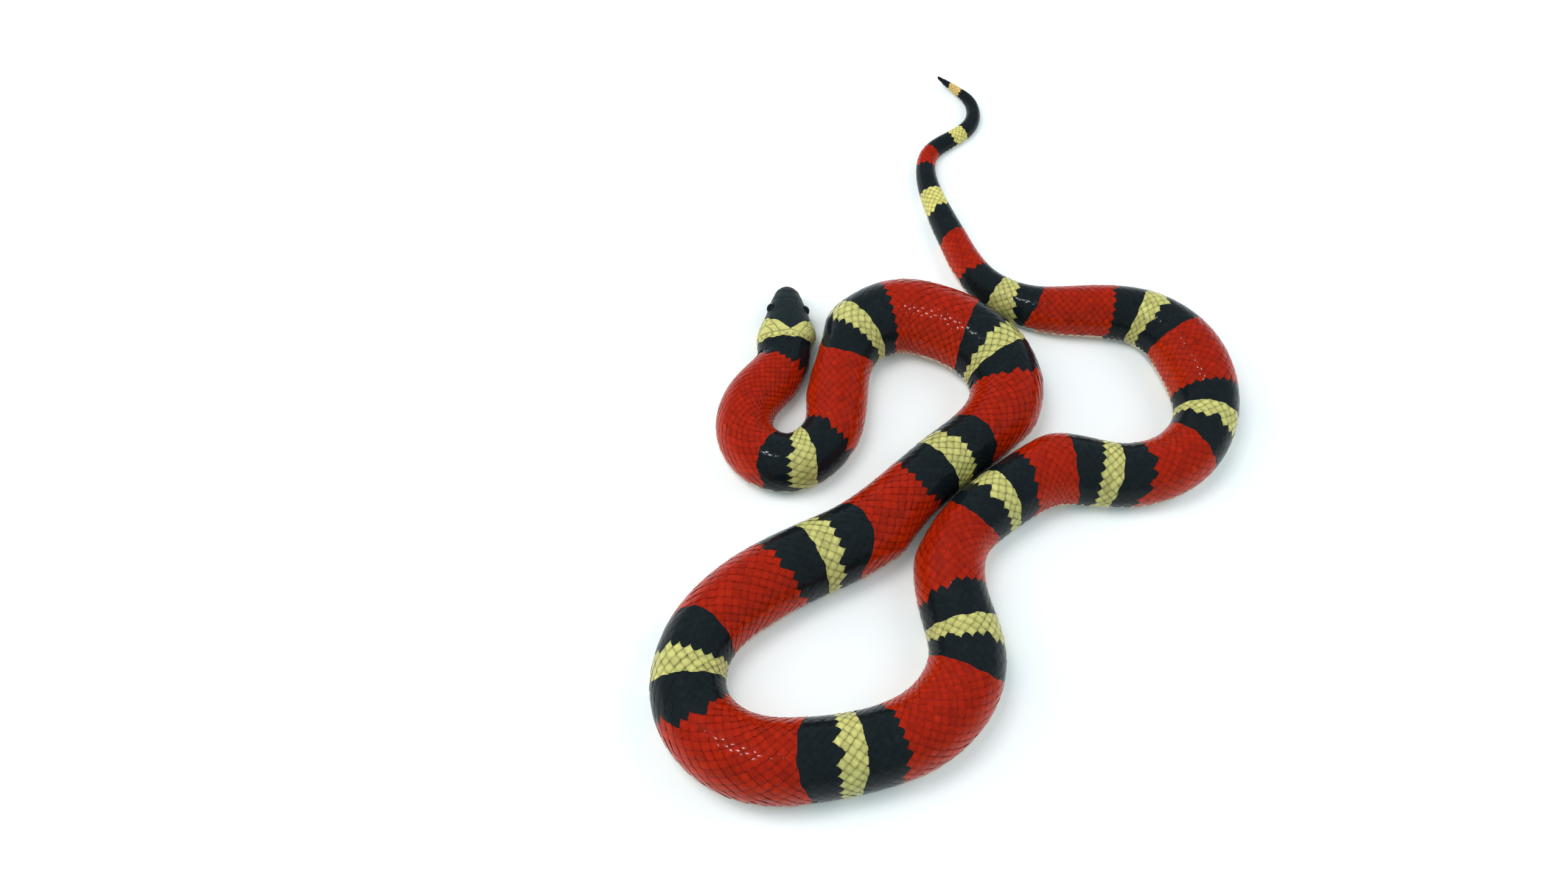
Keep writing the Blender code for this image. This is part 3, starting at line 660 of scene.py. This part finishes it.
def build_belly(surface, material):
    """The wide plates of the belly and the paired ones under the tail."""
    at, index = count_spacings(THROAT_END - 3, surface.body.length - 2)
    edges = np.interp(np.arange(0, index[-1], 1), index, at)
    rows = len(PLATE_STATIONS)
    points, faces, colours, uvs = [], [], [], []
    offset = 0
    for front, rear in zip(edges, edges[1:]):
        if front > VENT:
            across, halves = PAIRED_POINTS, ((PLATE_START, PAIR_END), (-PAIR_END, -PLATE_START))
        else:
            across, halves = PLATE_POINTS, ((PLATE_START, 2 - PLATE_START),)
        for low, high in halves:
            share = np.linspace(low, high, across)
            end = np.minimum(share - low, high - share) / (high - low)
            rounding = 1 - np.clip(1 - end / 0.07, 0, 1) ** 2 * 0.4
            top = []
            for station in PLATE_STATIONS:
                along = front + (rear - front) * station * (rounding if station > 0 else np.ones(across))
                lift = PLATE_RISE * station - PLATE_DEPTH - (PLATE_LIP if station == 1 else 0)
                top.append((along, share, lift - PLATE_CORNER * np.clip(1 - end / 0.04, 0, 1)))
            along, around, lift = np.array(top).transpose(1, 0, 2)
            wrapped = np.where(around > 1, around - 2, around)
            upper = surface.look_up(along, wrapped, lift)
            lower = surface.look_up(along, wrapped, lift - PLATE_THICK)
            block = np.vstack([upper.reshape(-1, 3), lower.reshape(-1, 3)])
            block[:, 2] = np.maximum(block[:, 2], 0.0)
            block[rows * across :, 2] = np.maximum(block[rows * across :, 2], 0.1)
            points.append(block)
            grid = np.arange(rows * across).reshape(rows, across)
            quads = np.stack([grid[:-1, :-1], grid[1:, :-1], grid[1:, 1:], grid[:-1, 1:]], -1).reshape(-1, 4)
            below = quads[:, ::-1] + rows * across
            border = np.concatenate([grid[0], grid[1:, -1], grid[-1, -2::-1], grid[-2:0:-1, 0]])
            after = np.roll(border, -1)
            skirt = np.stack([border, after, after + rows * across, border + rows * across], -1)
            faces.append(np.vstack([quads, below, skirt]) + offset)
            offset += 2 * rows * across
            middle = (front + rear) / 2
            colours.append(np.tile(belly_colour(middle, wrapped).reshape(-1, 3), (2, 1)))
            centre = unwrap(middle, 1.0 if high > 1 else (low + high) / 2, surface.body.length)
            patch = np.c_[(along.ravel() - middle) / 2, (around.ravel() - low) / (high - low) - 0.5]
            uvs.append(centre + 0.0015 * np.tile(patch, (2, 1)))
    points, colours, uvs = (np.vstack(parts) for parts in (points, colours, uvs))
    edge = np.full(len(points), -1.0)
    obj = make_mesh("belly_plates", points, [np.vstack(faces)], colours, colours, edge, uvs)
    obj.data.set_sharp_from_angle(angle=SHARP_TURN)
    obj.data.materials.append(material)


def belly_colour(at, share):
    """Pale plates, tinted like the ring above them, with the black rings closing below."""
    flank = np.array(0.5)
    kind, edge = marking(np.array(at), flank, np.array(at), flank)
    colours = np.tile(PALE_TONES[kind] * 0.9, (*share.shape, 1))
    if edge > 0:
        inner = smoothstep((abs(share) - BELLY_EDGE - 0.10) / 0.06)[..., None]
        colours = GREYISH * 0.9 * (1 - 0.85 * inner) + BLACK * 0.85 * inner
    return colours * (1 + 0.03 * np.sin(at * 7.1))


# Skin and head

def build_skin(surface, material):
    """One closed skin from the snout to the tip of the tail, dense on the head."""
    length = surface.body.length
    rings, counts = [], []
    head_at = np.concatenate([np.linspace(0, 1, 9) ** 1.5, np.arange(1.115, 21, 0.115)])
    body_at = np.arange(25, length - 0.8, 1.5)
    tip_at = length - TIP_ROUND * (1 - np.linspace(0, 1, 7) ** 0.6)
    # A ring has 320 points on the head, and behind it half and then a quarter as many
    for count, places in ((320, head_at), (160, [21.8]), (80, [23.2, *body_at, *tip_at])):
        rings += list(places)
        counts += [count] * len(places)
    points, shares, ats, starts = [], [], [], []
    total = 0
    for at, count in zip(rings, counts):
        share = np.linspace(-1, 1, count, endpoint=False)
        sunk = smoothstep((at - shield_end(share) - 0.1) / 0.6)
        depth = -SKIN_DEPTH * sunk * min(1.0, (length - at) / 12 + 0.25)
        ring = surface.look_up(np.full(count, at), share, depth)
        narrow = math.sqrt(1 - 0.97 * max(0, 1 - (length - at) / TIP_ROUND) ** 2)
        middle = ring.mean(axis=0)
        points.append(middle + (ring - middle) * narrow)
        shares.append(share)
        ats.append(np.full(count, at))
        starts.append(total)
        total += count
    points, shares, ats = np.vstack(points), np.concatenate(shares), np.concatenate(ats)
    points, seam_away = shape_head(surface, points, shares, ats)
    quads, triangles = [], []
    for r in range(len(rings) - 1):
        a, b, n, m = starts[r], starts[r + 1], counts[r], counts[r + 1]
        k = np.arange(m)
        if n == m:
            quads.append(np.stack([a + k, a + (k + 1) % n, b + (k + 1) % n, b + k], -1))
        else:
            triangles.append(np.stack([a + 2 * k, a + 2 * k + 1, b + k], -1))
            triangles.append(np.stack([a + 2 * k + 1, b + (k + 1) % m, b + k], -1))
            triangles.append(np.stack([a + 2 * k + 1, a + (2 * k + 2) % n, b + (k + 1) % m], -1))
    snout = points[: counts[0]].mean(axis=0) + np.append(surface.body.head_axis * 0.12, 0)
    tip = points[starts[-1] :].mean(axis=0)
    direction = surface.body.line[-1] - surface.body.line[-2]
    tip[:2] += direction / np.linalg.norm(direction) * 0.02
    points = np.vstack([points, snout[None], tip[None]])
    shares = np.r_[shares, 0, 0]
    ats = np.r_[ats, 0, length]
    seam_away = np.r_[seam_away, NO_SEAM, NO_SEAM]
    k = np.arange(counts[0])
    triangles.append(np.stack([np.full(counts[0], total), (k + 1) % counts[0], k], -1))
    k = np.arange(counts[-1])
    last = starts[-1]
    triangles.append(np.stack([np.full(counts[-1], total + 1), last + k, last + (k + 1) % counts[-1]], -1))
    colours, blacks, edge = skin_colours(surface, points, shares, ats, seam_away)
    faces = [np.vstack(quads), np.vstack(triangles)]
    obj = make_mesh("skin", points, faces, colours, blacks, edge, unwrap(ats, shares, length))
    obj.data.materials.append(material)
    return obj


def crown_point(at, off):
    """The head's surface above a plan point: behind the snout, off the middle."""
    out, up = section(at)
    top = np.argmax(out)
    share = np.interp(abs(off), out[: top + 1], np.arange(top + 1))
    return np.array([at, off, np.interp(share, np.arange(len(up)), up)])


def side_point(at, height):
    """The head's surface at a height on its left side."""
    out, up = section(at)
    off = np.interp(-height, -up, out)
    return np.array([at, off, height])


# Seams between the shields, as lines: behind the snout, then off the middle or the height
CROWN_SEAMS = (
    ((0.95, 0), (5.1, 0)),
    ((10.2, 0), (15.6, 0)),
    ((0.95, 0), (0.95, 1), (1.25, 2)),
    ((2.6, 0), (2.45, 1.2), (2.55, 2.5)),
    ((5.1, 0), (5.15, 1.65), (4.9, 3.2)),
    ((5.15, 1.65), (8.5, 1.45), (10.2, 0)),
    ((8.5, 1.45), (8.9, 2.8), (9.6, 4)),
    ((1.25, 2), (2.55, 2.5), (4.9, 3.25)),
    ((9.6, 4), (12.9, 4.6), (14.2, 3.7), (15.8, 2.9), (16.1, 2.3)),
    ((15.6, 0), (16, 1.4), (16.3, 2.9), (16.4, 5.2), (16.2, 7)),
    ((13.9, 4), (13.9, 6)),
    ((13.9, 6), (14.9, 5.1), (16.3, 4.3)),
)
SIDE_SEAMS = (
    ((0.9, 3.7), (3, 4), (5.9, 4.3)),
    ((9, 4.7), (11, 5.3), (13.9, 5.3)),
    ((2.8, 4), (2.7, 5.9)),
    ((4.7, 4.2), (4.6, 6.4)),
    ((9.7, 4.9), (9.9, 6.1), (9.6, 7.6)),
    ((9, 5.9), (9.9, 6.1), (11.8, 6.7)),
    ((11.7, 5.3), (12.1, 6), (11.8, 6.7), (12.2, 7.4), (11.9, 8.3)),
    ((12.1, 6), (14.2, 6.2)),
    ((12.2, 7.4), (13.9, 7.3)),
    ((13.7, 5.3), (14.2, 6.2), (13.9, 7.3)),
    ((14.2, 6.2), (16, 6.1)),
    ((13.7, 5.3), (15.4, 5)),
)
# Where the seams of the lips meet the mouth, and the upper lip's upper edge
UPPER_LIP_SEAMS = (1.3, 2.9, 4.5, 6.1, 8, 9.9, 11.8, 13.7)
LOWER_LIP_SEAMS = (1.5, 3.3, 5.2, 7.2, 9.2, 11.4, 13.4)
UPPER_LIP_TOP = ((0, 3.6), (0.9, 3.7), (3, 4), (5.9, 4.3), (9, 4.7), (11, 5.3), (13.9, 5.3))


def seam_points(lines, place):
    """Close-set surface points along each line of a group, on the left and the right."""
    found = []
    for line in lines:
        for a, b in zip(line, line[1:]):
            count = int(math.dist(a, b) / 0.08) + 2
            for t in np.linspace(0, 1, count):
                found.append(place(a[0] + (b[0] - a[0]) * t, a[1] + (b[1] - a[1]) * t))
    found = np.array(found)
    return np.vstack([found, found * (1, -1, 1)])


def distance_to(points, targets):
    """The distance from each point to the nearest target."""
    best = np.full(len(points), np.inf)
    for start in range(0, len(points), 4000):
        part = points[start : start + 4000]
        away = ((part[:, None, :] - targets[None]) ** 2).sum(axis=2).min(axis=1)
        best[start : start + 4000] = np.sqrt(away)
    return best


def shape_head(surface, points, shares, ats):
    """Shields with seams between them, lips, nostrils and the sockets of the eyes."""
    on_head = np.flatnonzero(ats < HEAD_END)
    snout, ahead, left = surface.body.head_frame()
    local = points[on_head] - snout
    local = np.c_[-(local @ ahead), local @ left, local[:, 2]]
    local[:, 1], local[:, 2] = straighten(local[:, 0], local[:, 1], local[:, 2])
    outward = surface.look_up(ats[on_head], shares[on_head], np.ones(len(on_head)))
    outward -= surface.look_up(ats[on_head], shares[on_head])
    outward = np.c_[-(outward @ ahead), outward @ left, outward[:, 2]]

    lips = []
    for at in UPPER_LIP_SEAMS:
        mouth = pchip(MOUTH_LINE, at)
        lips.append(((at, mouth), (at + 0.15, pchip(UPPER_LIP_TOP, at))))
    for at in LOWER_LIP_SEAMS:
        mouth = pchip(MOUTH_LINE, at)
        lips.append(((at, mouth), (at - 0.2, max(0.25, mouth - 1.5))))
    lips.append(tuple((at, max(0.25, pchip(MOUTH_LINE, at) - 1.5)) for at in np.arange(1.5, 14, 1)))
    crown = seam_points(CROWN_SEAMS, crown_point)
    away = distance_to(local, np.vstack([crown, seam_points([*SIDE_SEAMS, *lips], side_point)]))
    fade = 1 - smoothstep((local[:, 0] - 16.3) / 0.5)
    shift = (0.05 * (1 - np.exp(-away / 0.3)) - 0.04 * np.exp(-((away / 0.17) ** 2))) * fade

    mouth_height = pchip(MOUTH_LINE, local[:, 0])
    mouth = [tuple((at, pchip(MOUTH_LINE, at)) for at in np.arange(0.0, 13.9, 0.25))]
    gape = distance_to(local, seam_points(mouth, side_point))
    front = np.array([[0.0, y, 2.5] for y in np.arange(-1.3, 1.35, 0.08)])
    gape = np.minimum(gape, distance_to(local, front))
    shift -= 0.34 * np.exp(-((gape / 0.13) ** 2))
    below = smoothstep((mouth_height - local[:, 2]) / 0.3) * (1 - smoothstep((local[:, 0] - 12) / 2.5))
    shift -= 0.13 * below * (abs(outward[:, 1]) > 0.3)

    nostril = side_point(1.55, 4.25)
    for side in (1, -1):
        near = np.linalg.norm(local - nostril * (1, side, 1), axis=1)
        shift -= 0.5 * np.exp(-((near / 0.27) ** 2))
        shift += 0.07 * np.exp(-(((near - 0.5) / 0.16) ** 2))
    local += outward * shift[:, None]

    for side in (1, -1):
        centre = np.array([EYE_BEHIND_SNOUT, side * EYE_OFF_MIDDLE, EYE_HEIGHT])
        ray = local - centre
        near = np.linalg.norm(ray, axis=1)
        same_side = np.sign(local[:, 1]) == side
        rim = np.exp(-(((near - 1.7) / 0.3) ** 2)) * 0.06 * same_side
        local += outward * rim[:, None]
        inside = (near < EYE_RADIUS + 0.1) & same_side
        pull = np.where(inside, np.minimum(near, 1.05) / np.maximum(near, 1e-6), 1)
        local = centre + (local - centre) * pull[:, None]

    off, up = lean(local[:, 0], local[:, 1], local[:, 2])
    placed = snout - local[:, :1] * ahead + off[:, None] * left
    placed[:, 2] = np.maximum(up, 0.02)
    points[on_head] = placed
    seam_away = np.full(len(points), NO_SEAM)
    seam_away[on_head] = np.where(local[:, 0] < 16.6, away, NO_SEAM)
    return points, seam_away


# How far back the black cap reaches: off the middle, behind the snout
CAP_EDGE = (
    (0, 15.4), (1.3, 14.4), (2.45, 13.3), (3.5, 12.5), (4.8, 12), (5.5, 11.1), (6.4, 11), (7.5, 11.2),
)


def skin_colours(surface, points, shares, ats, seam_away):
    """The skin's markings: the black cap with its notch, the yellow collar, and the rings behind."""
    kinds, edge = marking(ats, shares, ats, shares)
    colours = np.where((kinds == RED_KIND)[:, None], RIM_RED, OLIVE)
    blacks = np.tile(BLACK * 0.6, (len(points), 1))
    snout, ahead, left = surface.body.head_frame()
    behind = -((points - snout) @ ahead)
    off, _ = straighten(behind, (points - snout) @ left, points[:, 2])
    on_head = ats < HEAD_END
    shielded = (on_head & (ats < shield_end(shares) + 1.3))[:, None]
    line = 0.68 * np.exp(-((seam_away / 0.16) ** 2))[:, None]
    yellow = YELLOW * (1 - line) + OLIVE * 0.5 * line
    colours = np.where(shielded, yellow, colours)
    blacks = np.where(shielded, HEAD_BLACK * (1 - 0.3 * line), blacks)
    cap = pchip(CAP_EDGE, abs(off)) - behind
    edge = np.where(on_head, np.maximum(cap, edge), edge)
    under = (smoothstep((0.5 - points[:, 2]) / 0.5) * (on_head & (behind > 2.5)))[:, None]
    blacks = blacks * (1 - under) + CREAM * 0.8 * under
    belly = ((abs(shares) > BELLY_EDGE) & ~on_head)[:, None]
    return np.where(belly, CREAM * 0.5, colours), np.where(belly, CREAM * 0.5, blacks), edge


def ball(radius, turns=48, rings=32):
    """The points of a ball, in rings from the top down, and its faces."""
    down = np.linspace(0, math.pi, rings + 1)[1:-1, None]
    turn = 2 * math.pi * np.arange(turns) / turns
    middle = np.stack([np.sin(down) * np.cos(turn), np.sin(down) * np.sin(turn), np.cos(down) + 0 * turn], -1)
    points = radius * np.vstack([(0, 0, 1), middle.reshape(-1, 3), (0, 0, -1)])
    here = 1 + np.arange((rings - 1) * turns).reshape(rings - 1, turns)
    after = np.roll(here, -1, axis=1)
    faces = np.stack([here[:-1], here[1:], after[1:], after[:-1]], -1).reshape(-1, 4).tolist()
    faces += [(0, a, b) for a, b in zip(here[0].tolist(), after[0].tolist())]
    faces += [(len(points) - 1, b, a) for a, b in zip(here[-1].tolist(), after[-1].tolist())]
    return points, faces


def build_eyes(body, material):
    """Plain dark eyes, leaning with the head."""
    snout, ahead, left = body.head_frame()
    round_eye, faces = ball(EYE_RADIUS + 0.02)
    for name, side in (("eye_left", 1), ("eye_right", -1)):
        behind, off, up = (round_eye + (EYE_BEHIND_SNOUT, side * EYE_OFF_MIDDLE, EYE_HEIGHT)).T
        off, up = lean(behind, off, up)
        points = snout - behind[:, None] * ahead + off[:, None] * left
        points[:, 2] = up
        mesh = bpy.data.meshes.new(name)
        mesh.from_pydata((points * MM).tolist(), [], faces)
        mesh.flip_normals()
        mesh.shade_smooth()
        mesh.materials.append(material)
        obj = add_object("dressed_" + name, mesh)
        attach(obj, "root")
        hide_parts(name)


# Materials

EDGE_BLUR = 0.05  # millimetres to each side of the black's edge over which the colours meet
MOTTLE, GRAIN = 1100, 4200  # how fine the two noises are, for coordinates in metres
MOTTLE_TINT = (0.84, 1.12)  # what it does to the colour at its darkest and its lightest
GRAIN_HEIGHT = 0.00004  # metres
SPECULAR = 0.22


def set_sockets(node, values):
    for socket, value in values.items():
        node.inputs[socket].default_value = value


def shader(name, roughness, specular=SPECULAR):
    """A new material and its shader."""
    material = bpy.data.materials.new(name)
    material.use_nodes = True
    principled = material.node_tree.nodes["Principled BSDF"]
    set_sockets(principled, {"Roughness": roughness, "Specular IOR Level": specular, "IOR": 1.33})
    return material, principled


def plain_material(name, roughness, specular, colour):
    material, principled = shader(name, roughness, specular)
    set_sockets(principled, {"Base Color": (*colour, 1)})
    return material


def scale_material(name, roughness, bump):
    """Colour from the mesh with a fine mottle, and a little unevenness in the gloss."""
    material, principled = shader(name, roughness)

    def add(kind, **values):
        node = material.node_tree.nodes.new("ShaderNode" + kind)
        set_sockets(node, {socket.replace("_", " "): value for socket, value in values.items()})
        return node

    def link(source, output, target, socket):
        material.node_tree.links.new(source.outputs[output], target.inputs[socket])

    bright, black, edge = (add("Attribute") for _ in range(3))
    bright.attribute_name, black.attribute_name, edge.attribute_name = "colour", "black", "edge"
    sharp = add("MapRange", From_Min=-EDGE_BLUR, From_Max=EDGE_BLUR)
    link(edge, "Fac", sharp, "Value")
    colour = add("Mix")
    colour.data_type = "RGBA"
    link(sharp, "Result", colour, "Factor")
    link(bright, "Color", colour, "A")
    link(black, "Color", colour, "B")
    where = add("TexCoord")
    mottle = add("TexNoise", Scale=MOTTLE, Detail=3)
    link(where, "Object", mottle, "Vector")
    spread = add("MapRange", From_Min=0.3, From_Max=0.7, To_Min=MOTTLE_TINT[0], To_Max=MOTTLE_TINT[1])
    link(mottle, "Fac", spread, "Value")
    mix = add("Mix")
    mix.data_type = "RGBA"
    mix.blend_type = "MULTIPLY"
    mix.inputs["Factor"].default_value = 1
    link(colour, "Result", mix, "A")
    link(spread, "Result", mix, "B")
    link(mix, "Result", principled, "Base Color")
    gloss = add("MapRange", To_Min=roughness - 0.03, To_Max=roughness + 0.08)
    link(mottle, "Fac", gloss, "Value")
    link(gloss, "Result", principled, "Roughness")
    grain = add("TexNoise", Scale=GRAIN)
    link(where, "Object", grain, "Vector")
    raised = add("Bump", Strength=bump, Distance=GRAIN_HEIGHT)
    link(grain, "Fac", raised, "Height")
    link(raised, "Normal", principled, "Normal")
    return material


# Stage, light and camera

FLOOR_REACH = 3.0
FLOOR_DROP = 0.00002  # it lies just under the belly
# Lights: name, place, width, height, watts, colour
LIGHTS = (
    ("key", (-0.22, 0.12, 0.60), 0.25, 0.25, 1.5, (1, 0.99, 0.97)),
    ("sparkle", (-0.21, -0.10, 0.60), 0.02, 0.02, 0.85, (1, 0.99, 0.97)),
    ("left", (-0.75, 0.10, 0.55), 0.5, 0.8, 3.4, (1, 1, 1)),
    ("right", (0.75, 0.20, 0.55), 0.5, 0.8, 3.4, (0.97, 0.99, 1)),
)
GLOSS_LIGHT = "sparkle"  # shows only in the gloss, and the others only in the colours


def build_stage():
    """A pale floor, soft light from all round and the lights."""
    mesh = bpy.data.meshes.new("floor")
    corners = [(x * FLOOR_REACH, y * FLOOR_REACH, 0) for x, y in ((-1, -1), (1, -1), (1, 1), (-1, 1))]
    mesh.from_pydata(corners, [], [(0, 1, 2, 3)])
    floor = add_object("floor", mesh)
    floor.location.z = -FLOOR_DROP
    mesh.materials.append(plain_material("pale_floor", 0.6, 0.2, (0.93, 0.945, 0.95)))

    world = bpy.data.worlds.new("studio")
    bpy.context.scene.world = world
    world.use_nodes = True
    set_sockets(world.node_tree.nodes["Background"], {"Color": (0.81, 0.955, 1.0, 1), "Strength": 0.63})

    for name, place, width, height, watts, colour in LIGHTS:
        light = bpy.data.lights.new(name, "AREA")
        light.shape = "RECTANGLE"
        light.size, light.size_y, light.energy, light.color = width, height, watts, colour
        lamp = add_object(name, light)
        lamp.location = place
        lamp.rotation_euler = (-Vector(place)).to_track_quat("-Z", "Y").to_euler()
        lamp.visible_diffuse = name != GLOSS_LIGHT
        lamp.visible_glossy = name == GLOSS_LIGHT
    bpy.context.scene.view_settings.view_transform = "Standard"


def build_camera(body):
    """The camera at the photograph's place, in the frame's coordinates."""
    data = bpy.data.cameras.new("camera")
    data.sensor_width = SENSOR
    data.lens = SENSOR * FOCAL_PIXELS / PHOTO_WIDTH
    data.clip_start = 0.01
    camera = add_object("camera", data)
    x, y = np.array(CAMERA_PLACE[:2]) + body.moved
    camera.location = (x * MM, y * MM, CAMERA_PLACE[2] * MM)
    camera.rotation_euler = (math.radians(90 - CAMERA_PITCH), 0, 0)
    bpy.context.scene.camera = camera


body = Body()
surface = Surface(body)
scales = scale_material("scales", 0.11, 0.2)
shields = scale_material("head_skin", 0.36, 0.35)
skin = build_skin(surface, shields)
flesh = [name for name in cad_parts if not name.startswith("eye")]
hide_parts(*flesh)
build_scales(surface, scales)
build_belly(surface, scales)
build_eyes(body, plain_material("eye_black", 0.25, SPECULAR, (0.004, 0.007, 0.008)))
build_stage()
build_camera(body)
